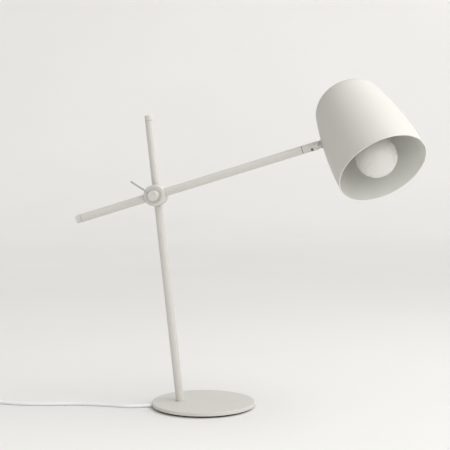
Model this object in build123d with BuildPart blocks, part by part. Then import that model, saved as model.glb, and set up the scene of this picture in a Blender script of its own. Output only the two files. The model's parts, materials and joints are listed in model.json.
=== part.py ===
from build123d import *
import os
from math import asin, atan2, cos, degrees, hypot, pi, radians, sin, sqrt, tan

# Swing arm desk lamp: a leaning post on a round base, an arm clamped to it by a lever knob,
# and a shade that swivels and tilts on the arm's end. Millimetres and degrees.
# Origin: on the table under the middle of the base. +X towards the shade, +Z up, -Y the knob side.

# ---- Base ----
base_diameter = 150.0
plate_thickness = 5.0
plate_top_chamfer = 0.6
plate_bottom_chamfer = 0.4
pad_diameter = 140.0
pad_thickness = 3.0

# ---- Post ----
tube_diameter = 12.0
tube_wall = 1.0
post_foot_x = -34.5         # the post's axis leaves the plate's top here
post_lean = 6.2             # towards -X
post_tube_top = 411.0       # along the post from the plate's top
post_below_top = 8.0        # tube below the plate's top, before it is cut level

# ---- End caps of both tubes ----
cap_neck_inset = 0.5        # radial, inside the tube's outer surface
cap_neck_length = 0.7
cap_head_length = 7.3
cap_head_fillet = 0.8
cap_plug_length = 9.0

# ---- Pivot hub between the post and the arm ----
hub_height = 303.0          # along the post from the plate's top
hub_diameter = 31.0
block_thickness = 17.0
block_edge_chamfer = 0.8
disc_gap = 1.0              # between the two blocks
disc_thickness = 0.95
disc_outer_diameter = 29.4
disc_inner_diameter = 18.0
chamber_diameter = 17.0     # shallow wiring recess in each block's mating face
chamber_depth = 1.5
wire_window_diameter = 10.0
screw_diameter = 5.0
block_screw_hole = 5.3
tube_screw_hole = 5.6
set_screw_diameter = 4.0
set_screw_length = 7.0
set_screw_socket = 2.0      # across flats
rear_nut_diameter = 16.0
rear_nut_length = 6.0
nut_end_wall = 1.6
thread_clearance = 0.05     # radial
face_clearance = 0.05
spanner_hole_diameter = 2.0
spanner_hole_pitch = 11.0
spanner_hole_depth = 1.5

# ---- Clamp knob ----
thrust_washer_diameter = 19.6
thrust_washer_thickness = 1.2
knob_diameter = 15.0
knob_length = 10.6
knob_collar_diameter = 16.4
knob_collar_length = 1.6
knob_fillet = 1.2
lever_diameter = 2.5
lever_reach = 38.5          # hub axis to lever tip
lever_angle = 148.1         # seen from the knob side, counterclockwise from +X
lever_root = 3.2            # hub axis to the lever's buried end
lever_height = 5.4          # above the knob's rear face
lever_tip_fillet = 0.8
screw_end_gap = 0.6         # clamp screw's end to the rear nut's end wall

# ---- Arm ----
arm_elevation = 17.1        # above horizontal, towards +X
arm_rear_length = 112.6     # hub axis to the tube's rear end
arm_front_length = 220.2    # hub axis to the tube's front end
bush_length = 14.0
bush_flange_inset = 0.5
bush_flange_thickness = 0.75
running_clearance = 0.05    # radial, spigot in bush

# ---- Swivel sleeve and knuckle ----
spigot_diameter = 8.0
swivel_bore = 5.0
swivel_nut_length = 3.0
swivel_nut_gap = 0.2
nut_clearance = 0.2         # radial, inside the tube
spigot_tail = 0.5           # spigot beyond its nut
knuckle_reach = 18.8        # arm tube's front end to the tilt axis
head_swivel = 35.9          # about the arm, towards the knob side
head_tilt = 0.0             # of the stud below the arm's line
fork_slot_width = 7.2
fork_slot_depth = 6.6       # behind the tilt axis
knuckle_side_clearance = 0.1
knuckle_eye_radius = 5.0
knuckle_cavity_width = 4.4
knuckle_cavity_height = 7.4
pin_diameter = 3.0
pin_head_diameter = 5.4
pin_head_depth = 0.8
knuckle_flat = 5.2          # sleeve axis to each milled flat beside the knuckle
knuckle_flat_length = 7.5   # behind the tilt axis
stud_reach = 10.3           # tilt axis to the shade's outer wall
stud_neck_height = 8.4
stud_flange_diameter = 12.0
stud_flange_thickness = 1.6
nipple_diameter = 8.0
nipple_bore = 5.0
nipple_hole_clearance = 0.1

# ---- Shade ----
mouth_diameter = 129.0
shade_depth = 150.0
shade_wall = 1.2
side_arc_radius = 500.0     # tangent to the axis at the mouth
shoulder_radius = 34.0
crown_radius = 86.0
mouth_edge_fillet = 0.4
stud_station = 82.0         # mouth plane to the stud, along the shade's axis
saddle_diameter = 14.0
saddle_depth = 2.6          # outer wall to the saddle's flat inner face
nipple_nut_across = 12.0
nipple_nut_length = 4.0
nipple_tail = 1.2

# ---- Lampholder bracket, in the shade's section: radius and height above the mouth ----
strip_thickness = 2.0
strip_width = 16.0
strip_foot_front = 9.0      # foot length on the mouth side of the nipple
strip_foot_back = 11.0
strip_knee_radius = 36.0
holder_plane_height = 120.0
strip_end_radius = 11.0     # past the shade's axis
strip_bend_radius = 5.0

# ---- Lampholder ----
holder_nipple_diameter = 10.0
holder_nipple_bore = 7.0
holder_nipple_length = 14.0
holder_nut_across = 14.0
holder_nut_length = 3.0
holder_cap_diameter = 39.0
holder_cap_shoulder = 26.0
holder_cap_height = 18.0
holder_wall = 1.8
holder_body_diameter = 39.0
holder_body_height = 32.0
holder_skirt_lip = 1.2
insert_height = 10.0
thread_shell_diameter = 27.4
thread_shell_wall = 0.4
thread_shell_height = 24.0
contact_diameter = 8.0
contact_height = 2.0

# ---- Bulb ----
bulb_diameter = 58.0
bulb_centre_depth = 23.0    # inside the mouth plane
bulb_wall = 0.8
bulb_neck_diameter = 25.0
bulb_neck_height = 48.0     # globe centre to the cap
bulb_neck_straight = 1.0
bulb_cap_diameter = 26.4
bulb_cap_height = 23.5
bulb_cap_overlap = 2.5      # over the glass neck
bulb_cap_wall = 0.4
bulb_tip_height = 5.0
bulb_tip_base_diameter = 20.0
bulb_tip_contact_diameter = 9.5

# ---- Wiring inside the lamp ----
core_diameter = 2.0
core_spread = 3.6           # each core beside the clamp screw
core_pair_offset = 1.3
core_gather = 1.1           # each core beside the axis where the pair runs close
core_in_stud = 1.4          # each core beside the stud's axis
core_apart = 2.4            # each core beside the middle in the open
core_past_pin = 2.65        # each core beside the knuckle's screw
core_bend = 4.0
core_run_in = 40.0          # over which the pair closes up inside the arm
core_end_gap = 0.6          # between cores that meet across a joint
strip_wire_radius = 27.0    # shade axis to the wires' hole in the bracket
strip_wire_hole = 7.0
wire_loop_height = 11.0     # above the bracket

# ---- Cord ----
cord_diameter = 5.0
cord_exit_angle = 19.0      # from -X towards the knob side
channel_width = 10.4
channel_clearance = 0.5     # over the boot
boot_inner_station = 17.0   # from the post's foot along the exit direction
boot_outer_station = 46.0
boot_head_length = 3.0
boot_head_width = 15.0
boot_base_width = 10.0
boot_cover = 0.3            # rubber over the cord at the tip and at top and bottom
fit_gap = 0.1
sheath_start_station = 12.0
cord_exit = 46.0            # station where the cord is clear of the boot
bend_share = 0.45           # of the shorter run beside a corner, given to its arc

cord_z = cord_diameter / 2
boot_height = cord_diameter + 2 * boot_cover
exit_axis_height = boot_height / 2 + fit_gap
channel_top = exit_axis_height + boot_height / 2 + channel_clearance
inlet_z = 6.0
plug_z = 7.0
tail_rise = 0.55            # share of the climb to the plug at the tail's middle point
tail_z = cord_z + tail_rise * (plug_z - cord_z)
lead_route = [
    (-107.0, -23.5, cord_z),
    (-143.0, -16.0, cord_z),
    (-186.0, -13.5, cord_z),
    (-222.0, -21.5, cord_z),
    (-262.0, -25.0, cord_z),
    (-293.0, -20.5, cord_z),
    (-313.0, -20.0, inlet_z),
]
middle_route = [
    (-363.0, -20.0, inlet_z),
    (-380.0, -18.5, cord_z),
    (-396.0, -19.0, cord_z),
    (-412.0, -21.5, cord_z),
]
tail_route = [
    (-412.0, -86.5, cord_z),
    (-398.0, -88.0, cord_z),
    (-386.0, -87.0, tail_z),
    (-374.0, -86.0, plug_z),
]

# ---- Inline switch ----
switch_centre = (-338.0, -20.0)
switch_length = 54.0
switch_width = 24.0
switch_height = 17.0
switch_wall = 1.6
switch_corner = 7.0
switch_edge = 1.5
rocker_length = 19.0
rocker_width = 11.0
rocker_below = 3.0          # rocker's body below its pivot
rocker_above = 2.8
rocker_gap = 0.5
rocker_drop = 2.6           # cover's top to the rocker's pivot
rocker_tilt = 8.0           # the rocker's lean in each of its two positions
trunnion_diameter = 2.0
trunnion_length = 1.5
trunnion_boss_length = 5.0
trunnion_boss_depth = 4.2   # below the cover's top wall
switch_screw_pitch = 42.0
switch_screw_diameter = 2.5
switch_screw_head = 4.4
switch_screw_head_depth = 1.6
switch_screw_length = 11.0
switch_boss_diameter = 6.0
terminal_length = 9.0
terminal_width = 4.0
terminal_height = 5.0
terminal_pitch_x = 20.0
terminal_pitch_y = 8.0

# ---- Coil, tie and plug ----
coil_centre = (-412.0, -54.0)
coil_mean_radius = 27.5
coil_band = 15.0
coil_height = 13.6
coil_corner = 3.0
tie_thickness = 0.8
tie_slack = 0.4
tie_width = 8.0
plug_start = (-378.0, -86.0)
plug_neck_length = 12.0
plug_neck_diameter = 9.0
plug_neck_bore = 4.0        # depth that the cord enters
plug_length = 37.0
plug_width = 28.0
plug_corner = 6.0
plug_edge = 2.0
pin_pitch = 19.0
plug_pin_diameter = 4.0
plug_pin_length = 19.0
plug_pin_root = 10.0
pin_tip_fillet = 1.2


def turned(plane, x=0.0, y=0.0, z=0.0):
    """The plane turned about its own axes."""
    return Plane(plane.location * Location((0, 0, 0), (x, y, z)))


def rod(plane, diameter, length, mode=Mode.ADD):
    """A cylinder on a plane, along the plane's normal."""
    with BuildSketch(plane) as outline:
        Circle(diameter / 2)
    extrude(outline.sketch, amount=length, mode=mode)


def bar(plane, length, width, height, mode=Mode.ADD):
    """A block centred on a plane, standing along the plane's normal."""
    with BuildSketch(plane) as outline:
        Rectangle(length, width)
    extrude(outline.sketch, amount=height, mode=mode)


def ring(plane, outer_diameter, inner_diameter, length, mode=Mode.ADD):
    """A flat ring or a tube on a plane."""
    with BuildSketch(plane) as outline:
        Circle(outer_diameter / 2)
        Circle(inner_diameter / 2, mode=Mode.SUBTRACT)
    extrude(outline.sketch, amount=length, mode=mode)


def hexagon(plane, across_flats, length, hole_diameter):
    """A hexagonal nut."""
    with BuildSketch(plane) as outline:
        RegularPolygon(across_flats / 2, 6, major_radius=False)
        Circle(hole_diameter / 2, mode=Mode.SUBTRACT)
    extrude(outline.sketch, amount=length)


# ---- Planes ----
plate_top_z = pad_thickness + plate_thickness
lean = radians(post_lean)
post_plane = Plane(
    origin=(post_foot_x, 0, plate_top_z),
    x_dir=(cos(lean), 0, sin(lean)),
    z_dir=(-sin(lean), 0, cos(lean)),
)
hub_origin = post_plane.from_local_coords((0, 0, hub_height))
hub_plane = Plane(origin=hub_origin, x_dir=(1, 0, 0), z_dir=(0, -1, 0))
post_block_front = hub_plane.offset(block_thickness / 2)
post_block_back = hub_plane.offset(-block_thickness / 2)
arm_block_back = post_block_front.offset(disc_gap)
arm_block_front = arm_block_back.offset(block_thickness)
arm_middle = arm_block_back.offset(block_thickness / 2)

rise = radians(arm_elevation)
arm_plane = Plane(origin=arm_middle.origin, x_dir=(0, -1, 0), z_dir=(cos(rise), 0, sin(rise)))
knuckle_distance = arm_front_length + knuckle_reach
sleeve_start = arm_front_length + bush_flange_thickness + face_clearance
swivel_plane = turned(arm_plane, z=-head_swivel)
knuckle_plane = swivel_plane.offset(knuckle_distance)
stud_plane = turned(knuckle_plane, x=-head_tilt)

wall_slope = degrees(asin(stud_station / side_arc_radius))
side_centre_radius = mouth_diameter / 2 - side_arc_radius
stud_radius = side_centre_radius + sqrt(side_arc_radius**2 - stud_station**2)
wall_plane = turned(stud_plane.offset(stud_reach), x=wall_slope)
shade_plane = Plane(
    origin=wall_plane.from_local_coords((0, stud_station, stud_radius)),
    x_dir=-wall_plane.z_dir,
    z_dir=-wall_plane.y_dir,
)
section_plane = Plane(
    origin=shade_plane.origin, x_dir=shade_plane.x_dir, z_dir=-shade_plane.y_dir
)
shade_axis = Axis(shade_plane.origin, shade_plane.z_dir)

exit_turn = radians(cord_exit_angle)
exit_dir = Vector(-cos(exit_turn), -sin(exit_turn), 0)
exit_floor = Plane(origin=(post_foot_x, 0, 0), x_dir=exit_dir, z_dir=(0, 0, 1))
exit_section = Plane(
    origin=(post_foot_x, 0, exit_axis_height), x_dir=(sin(exit_turn), -cos(exit_turn), 0),
    z_dir=exit_dir,
)
tube_bore = tube_diameter - 2 * tube_wall
channel_reach = base_diameter


def cut_cord_channel():
    """The cord's channel, open below, from the post's foot out past the rim."""
    with BuildSketch(exit_floor) as outline:
        with Locations((channel_reach / 2, 0)):
            Rectangle(channel_reach, channel_width)
        with Locations((boot_inner_station + boot_head_length / 2, 0)):
            Rectangle(boot_head_length + 2 * fit_gap, boot_head_width + 2 * fit_gap)
    extrude(outline.sketch, amount=channel_top, mode=Mode.SUBTRACT)


def end_cap(tube_end):
    """A turned cap: plug in the tube, narrow neck, rounded head. The plane faces out of the tube."""
    rod(tube_end, tube_bore, -cap_plug_length)
    rod(tube_end, tube_diameter - 2 * cap_neck_inset, cap_neck_length)
    rod(tube_end.offset(cap_neck_length), tube_diameter, cap_head_length)


def round_cap_head(piece, tube_end):
    """Rounds the outer edge of a cap's head."""
    fillet(piece.edges().sort_by(Axis(tube_end.origin, tube_end.z_dir))[-1], cap_head_fillet)


os.makedirs("parts", exist_ok=True)

# ---- Base ----
with BuildPart() as base_plate:
    rod(Plane.XY.offset(pad_thickness), base_diameter, plate_thickness)
    chamfer(base_plate.edges().group_by(Axis.Z)[-1], plate_top_chamfer)
    chamfer(base_plate.edges().group_by(Axis.Z)[0], plate_bottom_chamfer)
    rod(post_plane.offset(-2 * plate_thickness), tube_diameter, 4 * plate_thickness, Mode.SUBTRACT)
    cut_cord_channel()
base_plate.part.label = "base_plate"
export_step(base_plate.part, "parts/base_plate.step")

with BuildPart() as base_pad:
    rod(Plane.XY, pad_diameter, pad_thickness)
    with BuildSketch(Plane.XY):
        with Locations((post_foot_x, 0)):
            Circle(tube_diameter)
    extrude(amount=pad_thickness, mode=Mode.SUBTRACT)
    cut_cord_channel()
base_pad.part.label = "base_pad"
export_step(base_pad.part, "parts/base_pad.step")

# ---- Post ----
with BuildPart() as post_tube:
    ring(post_plane.offset(-post_below_top), tube_diameter, tube_bore,
         post_below_top + post_tube_top)
    split(bisect_by=Plane.XY.offset(pad_thickness), keep=Keep.TOP)
    cut_cord_channel()
    rod(hub_plane, wire_window_diameter, tube_diameter, Mode.SUBTRACT)
    rod(hub_plane, tube_screw_hole, -tube_diameter, Mode.SUBTRACT)
post_tube.part.label = "post_tube"
export_step(post_tube.part, "parts/post_tube.step")

post_end = post_plane.offset(post_tube_top)
with BuildPart() as post_cap:
    end_cap(post_end)
    round_cap_head(post_cap, post_end)
post_cap.part.label = "post_cap"
export_step(post_cap.part, "parts/post_cap.step")


# ---- Pivot hub ----
post_at_hub = post_plane.offset(hub_height)
post_screw_plane = turned(post_at_hub, y=90)
with BuildPart() as post_block:
    rod(post_block_back, hub_diameter, block_thickness)
    chamfer(post_block.edges().filter_by(GeomType.CIRCLE), block_edge_chamfer)
    rod(post_at_hub.offset(-hub_diameter), tube_diameter, 2 * hub_diameter, Mode.SUBTRACT)
    rod(post_block_front, chamber_diameter, -chamber_depth, Mode.SUBTRACT)
    rod(post_block_front, wire_window_diameter, -block_thickness / 2, Mode.SUBTRACT)
    rod(post_block_back, block_screw_hole, block_thickness, Mode.SUBTRACT)
    rod(post_screw_plane, set_screw_diameter, hub_diameter, Mode.SUBTRACT)
post_block.part.label = "post_block"
export_step(post_block.part, "parts/post_block.step")

with BuildPart() as post_set_screw:
    rod(post_screw_plane.offset(tube_diameter / 2), set_screw_diameter, set_screw_length)
    with BuildSketch(post_screw_plane.offset(tube_diameter / 2 + set_screw_length)):
        RegularPolygon(set_screw_socket / 2, 6, major_radius=False)
    extrude(amount=-set_screw_length / 2, mode=Mode.SUBTRACT)
post_set_screw.part.label = "post_set_screw"
export_step(post_set_screw.part, "parts/post_set_screw.step")

with BuildPart() as friction_disc:
    ring(post_block_front, disc_outer_diameter, disc_inner_diameter, disc_thickness)
friction_disc.part.label = "friction_disc"
export_step(friction_disc.part, "parts/friction_disc.step")

with BuildPart() as rear_nut:
    rod(post_block_back, rear_nut_diameter, -rear_nut_length)
    chamfer(rear_nut.edges().sort_by(Axis.Y)[-1], block_edge_chamfer)
    rod(post_block_back, screw_diameter + 2 * thread_clearance, -(rear_nut_length - nut_end_wall),
        Mode.SUBTRACT)
    with BuildSketch(post_block_back.offset(-rear_nut_length)):
        with Locations((-spanner_hole_pitch / 2, 0), (spanner_hole_pitch / 2, 0)):
            Circle(spanner_hole_diameter / 2)
    extrude(amount=spanner_hole_depth, mode=Mode.SUBTRACT)
rear_nut.part.label = "rear_nut"
export_step(rear_nut.part, "parts/rear_nut.step")

# ---- Clamp knob, its screw and lever ----
washer_plane = arm_block_front.offset(face_clearance)
knob_plane = washer_plane.offset(thrust_washer_thickness + face_clearance)

with BuildPart() as thrust_washer:
    ring(washer_plane, thrust_washer_diameter, block_screw_hole, thrust_washer_thickness)
thrust_washer.part.label = "thrust_washer"
export_step(thrust_washer.part, "parts/thrust_washer.step")

lever_plane = Plane(
    origin=knob_plane.offset(lever_height).origin,
    x_dir=(0, -1, 0),
    z_dir=(cos(radians(lever_angle)), 0, sin(radians(lever_angle))),
)
with BuildPart() as clamp_knob:
    rod(knob_plane, knob_diameter, knob_length)
    fillet(clamp_knob.edges().sort_by(Axis.Y)[0], knob_fillet)
    rod(knob_plane, knob_collar_diameter, knob_collar_length)
    rod(knob_plane, screw_diameter, knob_length - nut_end_wall, Mode.SUBTRACT)
    rod(lever_plane.offset(lever_root), lever_diameter, knob_diameter, Mode.SUBTRACT)
clamp_knob.part.label = "clamp_knob"
export_step(clamp_knob.part, "parts/clamp_knob.step")

screw_top = knob_plane.offset(knob_length - nut_end_wall)
screw_length = (
    knob_length - nut_end_wall + thrust_washer_thickness + 2 * face_clearance
    + 2 * block_thickness + disc_gap + rear_nut_length - nut_end_wall - screw_end_gap
)
with BuildPart() as clamp_screw:
    rod(screw_top, screw_diameter, -screw_length)
    rod(lever_plane.offset(lever_root), lever_diameter, knob_diameter, Mode.SUBTRACT)
clamp_screw.part.label = "clamp_screw"
export_step(clamp_screw.part, "parts/clamp_screw.step")

with BuildPart() as clamp_lever:
    rod(lever_plane.offset(lever_root), lever_diameter, lever_reach - lever_root)
    fillet(
        clamp_lever.edges().sort_by(Axis(lever_plane.origin, lever_plane.z_dir))[-1],
        lever_tip_fillet,
    )
clamp_lever.part.label = "clamp_lever"
export_step(clamp_lever.part, "parts/clamp_lever.step")

# ---- Arm ----
arm_screw_plane = turned(arm_plane, x=-90)
with BuildPart() as arm_block:
    rod(arm_block_back, hub_diameter, block_thickness)
    chamfer(arm_block.edges().filter_by(GeomType.CIRCLE), block_edge_chamfer)
    rod(arm_plane.offset(-hub_diameter), tube_diameter, 2 * hub_diameter, Mode.SUBTRACT)
    rod(arm_block_back, chamber_diameter, chamber_depth, Mode.SUBTRACT)
    rod(arm_block_back, wire_window_diameter, block_thickness / 2, Mode.SUBTRACT)
    rod(arm_block_back, block_screw_hole, block_thickness, Mode.SUBTRACT)
    rod(arm_screw_plane, set_screw_diameter, hub_diameter, Mode.SUBTRACT)
arm_block.part.label = "arm_block"
export_step(arm_block.part, "parts/arm_block.step")

with BuildPart() as arm_set_screw:
    rod(arm_screw_plane.offset(tube_diameter / 2), set_screw_diameter, set_screw_length)
    with BuildSketch(arm_screw_plane.offset(tube_diameter / 2 + set_screw_length)):
        RegularPolygon(set_screw_socket / 2, 6, major_radius=False)
    extrude(amount=-set_screw_length / 2, mode=Mode.SUBTRACT)
arm_set_screw.part.label = "arm_set_screw"
export_step(arm_set_screw.part, "parts/arm_set_screw.step")

with BuildPart() as arm_tube:
    ring(arm_plane.offset(-arm_rear_length), tube_diameter, tube_bore,
         arm_rear_length + arm_front_length)
    rod(arm_middle, wire_window_diameter, -tube_diameter, Mode.SUBTRACT)
    rod(arm_middle, tube_screw_hole, tube_diameter, Mode.SUBTRACT)
arm_tube.part.label = "arm_tube"
export_step(arm_tube.part, "parts/arm_tube.step")

arm_rear_end = turned(arm_plane.offset(-arm_rear_length), x=180)
with BuildPart() as arm_cap:
    end_cap(arm_rear_end)
    round_cap_head(arm_cap, arm_rear_end)
arm_cap.part.label = "arm_cap"
export_step(arm_cap.part, "parts/arm_cap.step")

arm_front_end = arm_plane.offset(arm_front_length)
bush_bore = spigot_diameter + 2 * running_clearance
with BuildPart() as arm_bush:
    ring(arm_front_end, tube_bore, bush_bore, -bush_length)
    ring(arm_front_end, tube_diameter - 2 * bush_flange_inset, bush_bore, bush_flange_thickness)
arm_bush.part.label = "arm_bush"
export_step(arm_bush.part, "parts/arm_bush.step")

# ---- Swivel sleeve and knuckle ----
sleeve_plane = swivel_plane.offset(sleeve_start)
nut_plane = swivel_plane.offset(arm_front_length - bush_length - swivel_nut_gap)
spigot_length = sleeve_start - arm_front_length + bush_length + swivel_nut_gap
spigot_length += swivel_nut_length + spigot_tail
pin_axis_plane = turned(knuckle_plane, y=90)
slot_length = fork_slot_depth + tube_diameter
with BuildPart() as swivel_sleeve:
    rod(pin_axis_plane.offset(-tube_diameter / 2), tube_diameter, tube_diameter)
    rod(sleeve_plane, tube_diameter, knuckle_distance - sleeve_start)
    rod(sleeve_plane, tube_diameter, knuckle_distance, Mode.INTERSECT)
    rod(sleeve_plane, spigot_diameter, -spigot_length)
    rod(sleeve_plane.offset(-spigot_length), swivel_bore,
        spigot_length + knuckle_distance - sleeve_start, Mode.SUBTRACT)
    bar(knuckle_plane.offset(-fork_slot_depth), fork_slot_width, 2 * tube_diameter, slot_length,
        Mode.SUBTRACT)
    rod(pin_axis_plane.offset(-tube_diameter), pin_diameter, 2 * tube_diameter, Mode.SUBTRACT)
    for side in (0, 180):
        flat_plane = turned(pin_axis_plane, y=side).offset(knuckle_flat)
        with BuildSketch(flat_plane) as flat_outline:
            Rectangle(2 * knuckle_flat_length, 2 * tube_diameter)
        extrude(flat_outline.sketch, amount=tube_diameter, mode=Mode.SUBTRACT)
        rod(flat_plane.offset(-pin_head_depth), pin_head_diameter, pin_head_depth, Mode.SUBTRACT)
swivel_sleeve.part.label = "swivel_sleeve"
export_step(swivel_sleeve.part, "parts/swivel_sleeve.step")

with BuildPart() as swivel_nut:
    ring(nut_plane, tube_bore - 2 * nut_clearance, spigot_diameter, -swivel_nut_length)
swivel_nut.part.label = "swivel_nut"
export_step(swivel_nut.part, "parts/swivel_nut.step")

pin_start = pin_axis_plane.offset(-knuckle_flat)
pin_head_plane = pin_axis_plane.offset(knuckle_flat - pin_head_depth)
with BuildPart() as knuckle_screw:
    rod(pin_start, pin_diameter, 2 * knuckle_flat - pin_head_depth)
    rod(pin_head_plane, pin_head_diameter, pin_head_depth)
    bar(pin_head_plane.offset(pin_head_depth), pin_diameter, pin_head_depth, -pin_head_depth / 2,
        Mode.SUBTRACT)
knuckle_screw.part.label = "knuckle_screw"
export_step(knuckle_screw.part, "parts/knuckle_screw.step")

with BuildPart() as knuckle_nut:
    ring(pin_start, pin_head_diameter, pin_diameter, pin_head_depth)
knuckle_nut.part.label = "knuckle_nut"
export_step(knuckle_nut.part, "parts/knuckle_nut.step")

# ---- Shade ----
side_reach = side_arc_radius - shoulder_radius
crown_reach = crown_radius - shoulder_radius
crown_centre_height = shade_depth - crown_radius
centres_gap = hypot(side_centre_radius, crown_centre_height)
along = (centres_gap**2 + side_reach**2 - crown_reach**2) / (2 * centres_gap)
across = sqrt(side_reach**2 - along**2)
gap_x = -side_centre_radius / centres_gap
gap_y = crown_centre_height / centres_gap
shoulder_x = side_centre_radius + along * gap_x - across * gap_y
shoulder_y = along * gap_y + across * gap_x
side_end_angle = degrees(atan2(shoulder_y, shoulder_x - side_centre_radius))
crown_start_angle = degrees(atan2(shoulder_y - crown_centre_height, shoulder_x))


def shade_form(inset, mode=Mode.ADD):
    """The solid inside the shade's outer surface, or inside a surface inset from it."""
    with BuildSketch(section_plane) as outline:
        with BuildLine():
            CenterArc((side_centre_radius, 0), side_arc_radius - inset, 0, side_end_angle)
            CenterArc((shoulder_x, shoulder_y), shoulder_radius - inset, side_end_angle,
                      crown_start_angle - side_end_angle)
            CenterArc((0, crown_centre_height), crown_radius - inset, crown_start_angle,
                      90 - crown_start_angle)
            Polyline((0, shade_depth - inset), (0, 0), (mouth_diameter / 2 - inset, 0))
        make_face()
    revolve(outline.sketch, axis=shade_axis, mode=mode)


stud_hole = nipple_diameter + 2 * nipple_hole_clearance
with BuildPart() as shade:
    shade_form(0)
    shade_form(shade_wall, Mode.SUBTRACT)
    fillet(shade.faces().sort_by(shade_axis)[0].edges(), mouth_edge_fillet)
    rod(stud_plane.offset(stud_reach - stud_flange_thickness), stud_hole,
        stud_flange_thickness + saddle_depth, Mode.SUBTRACT)
shade.part.label = "shade"
export_step(shade.part, "parts/shade.step")

# ---- Stud, saddle and nut that hold the shade to the knuckle ----
flange_plane = stud_plane.offset(stud_reach - stud_flange_thickness)
strip_face = stud_plane.offset(stud_reach + saddle_depth)
nipple_reach = saddle_depth + strip_thickness + nipple_nut_length + nipple_tail
tongue_width = fork_slot_width - 2 * knuckle_side_clearance
eye_plane = turned(stud_plane, y=90).offset(-tongue_width / 2)
cavity_front = stud_reach - 2 * stud_flange_thickness
with BuildPart() as shade_stud:
    rod(flange_plane, stud_flange_diameter, 2 * stud_flange_thickness)
    shade_form(0, Mode.SUBTRACT)
    rod(eye_plane, 2 * knuckle_eye_radius, tongue_width)
    bar(stud_plane, tongue_width, stud_neck_height, stud_reach - stud_flange_thickness)
    rod(flange_plane, nipple_diameter, stud_flange_thickness + nipple_reach)
    bar(stud_plane.offset(-2 * knuckle_eye_radius), knuckle_cavity_width, knuckle_cavity_height,
        2 * knuckle_eye_radius + cavity_front, Mode.SUBTRACT)
    rod(stud_plane, nipple_bore, stud_reach + nipple_reach, Mode.SUBTRACT)
    rod(eye_plane, pin_diameter + 2 * running_clearance, tongue_width, Mode.SUBTRACT)
shade_stud.part.label = "shade_stud"
export_step(shade_stud.part, "parts/shade_stud.step")

with BuildPart() as stud_saddle:
    rod(stud_plane.offset(stud_reach), saddle_diameter, saddle_depth)
    shade_form(shade_wall, Mode.INTERSECT)
    rod(stud_plane.offset(stud_reach), stud_hole, saddle_depth, Mode.SUBTRACT)
stud_saddle.part.label = "stud_saddle"
export_step(stud_saddle.part, "parts/stud_saddle.step")

with BuildPart() as stud_nut:
    hexagon(strip_face.offset(strip_thickness), nipple_nut_across, nipple_nut_length,
            nipple_diameter)
stud_nut.part.label = "stud_nut"
export_step(stud_nut.part, "parts/stud_nut.step")

# ---- Bracket from the stud to the lampholder ----
slope = radians(wall_slope)
foot_depth = saddle_depth + strip_thickness / 2
foot_x = stud_radius - foot_depth * cos(slope)
foot_y = stud_station - foot_depth * sin(slope)
strip_path = [
    (foot_x + strip_foot_front * sin(slope), foot_y - strip_foot_front * cos(slope)),
    (foot_x - strip_foot_back * sin(slope), foot_y + strip_foot_back * cos(slope)),
    (strip_knee_radius, holder_plane_height),
    (-strip_end_radius, holder_plane_height),
]
holder_top = shade_plane.offset(holder_plane_height - strip_thickness / 2)
strip_top = shade_plane.offset(holder_plane_height + strip_thickness / 2)
wire_hole_plane = Plane(
    origin=holder_top.from_local_coords((strip_wire_radius, 0, 0)), z_dir=holder_top.z_dir
)
with BuildPart() as holder_bracket:
    with BuildSketch(section_plane):
        with BuildLine():
            FilletPolyline(strip_path, radius=strip_bend_radius)
        trace(line_width=strip_thickness)
    extrude(amount=strip_width / 2, both=True)
    rod(strip_face, stud_hole, strip_thickness, Mode.SUBTRACT)
    rod(holder_top, holder_nipple_diameter, strip_thickness, Mode.SUBTRACT)
    rod(wire_hole_plane, strip_wire_hole, strip_thickness, Mode.SUBTRACT)
holder_bracket.part.label = "holder_bracket"
export_step(holder_bracket.part, "parts/holder_bracket.step")

# ---- Lampholder ----
cap_base = holder_top.offset(-holder_cap_height)
bulb_tip_plane = shade_plane.offset(
    bulb_centre_depth + bulb_neck_height + bulb_cap_height - bulb_cap_overlap
)
contact_plane = bulb_tip_plane.offset(bulb_tip_height)
insert_plane = contact_plane.offset(contact_height)
holder_inner = holder_cap_diameter - 2 * holder_wall

with BuildPart() as holder_nipple:
    ring(strip_top.offset(holder_nut_length + nipple_tail), holder_nipple_diameter,
         holder_nipple_bore, -holder_nipple_length)
holder_nipple.part.label = "holder_nipple"
export_step(holder_nipple.part, "parts/holder_nipple.step")

with BuildPart() as holder_nut:
    hexagon(strip_top, holder_nut_across, holder_nut_length, holder_nipple_diameter)
holder_nut.part.label = "holder_nut"
export_step(holder_nut.part, "parts/holder_nut.step")

with BuildPart() as holder_cap:
    rod(cap_base, holder_cap_diameter, holder_cap_height)
    fillet(
        holder_cap.edges().sort_by(shade_axis)[-1],
        (holder_cap_diameter - holder_cap_shoulder) / 2,
    )
    offset(amount=-holder_wall, openings=holder_cap.faces().sort_by(shade_axis)[0])
    rod(cap_base, holder_nipple_diameter, holder_cap_height, Mode.SUBTRACT)
holder_cap.part.label = "holder_cap"
export_step(holder_cap.part, "parts/holder_cap.step")

with BuildPart() as holder_body:
    ring(cap_base, holder_body_diameter, holder_inner, -holder_body_height)
    ring(cap_base.offset(-holder_body_height), holder_body_diameter,
         thread_shell_diameter + 2 * holder_skirt_lip, holder_skirt_lip)
    fillet(holder_body.edges().sort_by(shade_axis)[0], holder_skirt_lip / 2)
holder_body.part.label = "holder_body"
export_step(holder_body.part, "parts/holder_body.step")

with BuildPart() as holder_insert:
    rod(insert_plane, holder_inner - 2 * fit_gap, insert_height)
holder_insert.part.label = "holder_insert"
export_step(holder_insert.part, "parts/holder_insert.step")

with BuildPart() as holder_contact:
    rod(contact_plane, contact_diameter, contact_height)
holder_contact.part.label = "holder_contact"
export_step(holder_contact.part, "parts/holder_contact.step")

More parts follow.
